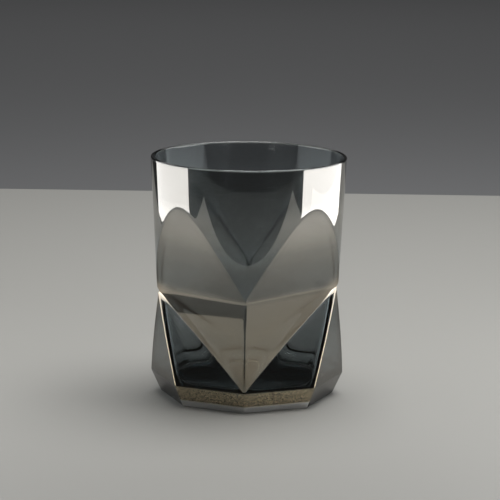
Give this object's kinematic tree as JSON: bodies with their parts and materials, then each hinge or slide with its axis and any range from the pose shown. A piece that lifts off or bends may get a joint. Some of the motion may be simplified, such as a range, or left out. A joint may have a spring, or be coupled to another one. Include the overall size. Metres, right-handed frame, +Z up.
{
  "type": "whiskey tumbler",
  "caption": "Smoked glass whiskey tumbler with a round thin rim, arched side facets meeting at a pinched waist, and large triangular facets over an octagonal base.",
  "frame": {"origin": "on the axis of the glass, at the plane its base rests on", "axes": "+Z up along the axis of the round mouth; -Y towards the waist corner that faces the drinker, above the single vertical ridge; +X to that corner's right as the drinker sees it"},
  "size_m": [0.0852, 0.0852, 0.1055],
  "materials": {
    "smoked_glass": "fire-polished clear smoked glass with a faint warm metallic sheen"
  },
  "bodies": {
    "root": {"tumbler": "smoked_glass"}
  },
  "joints": []
}
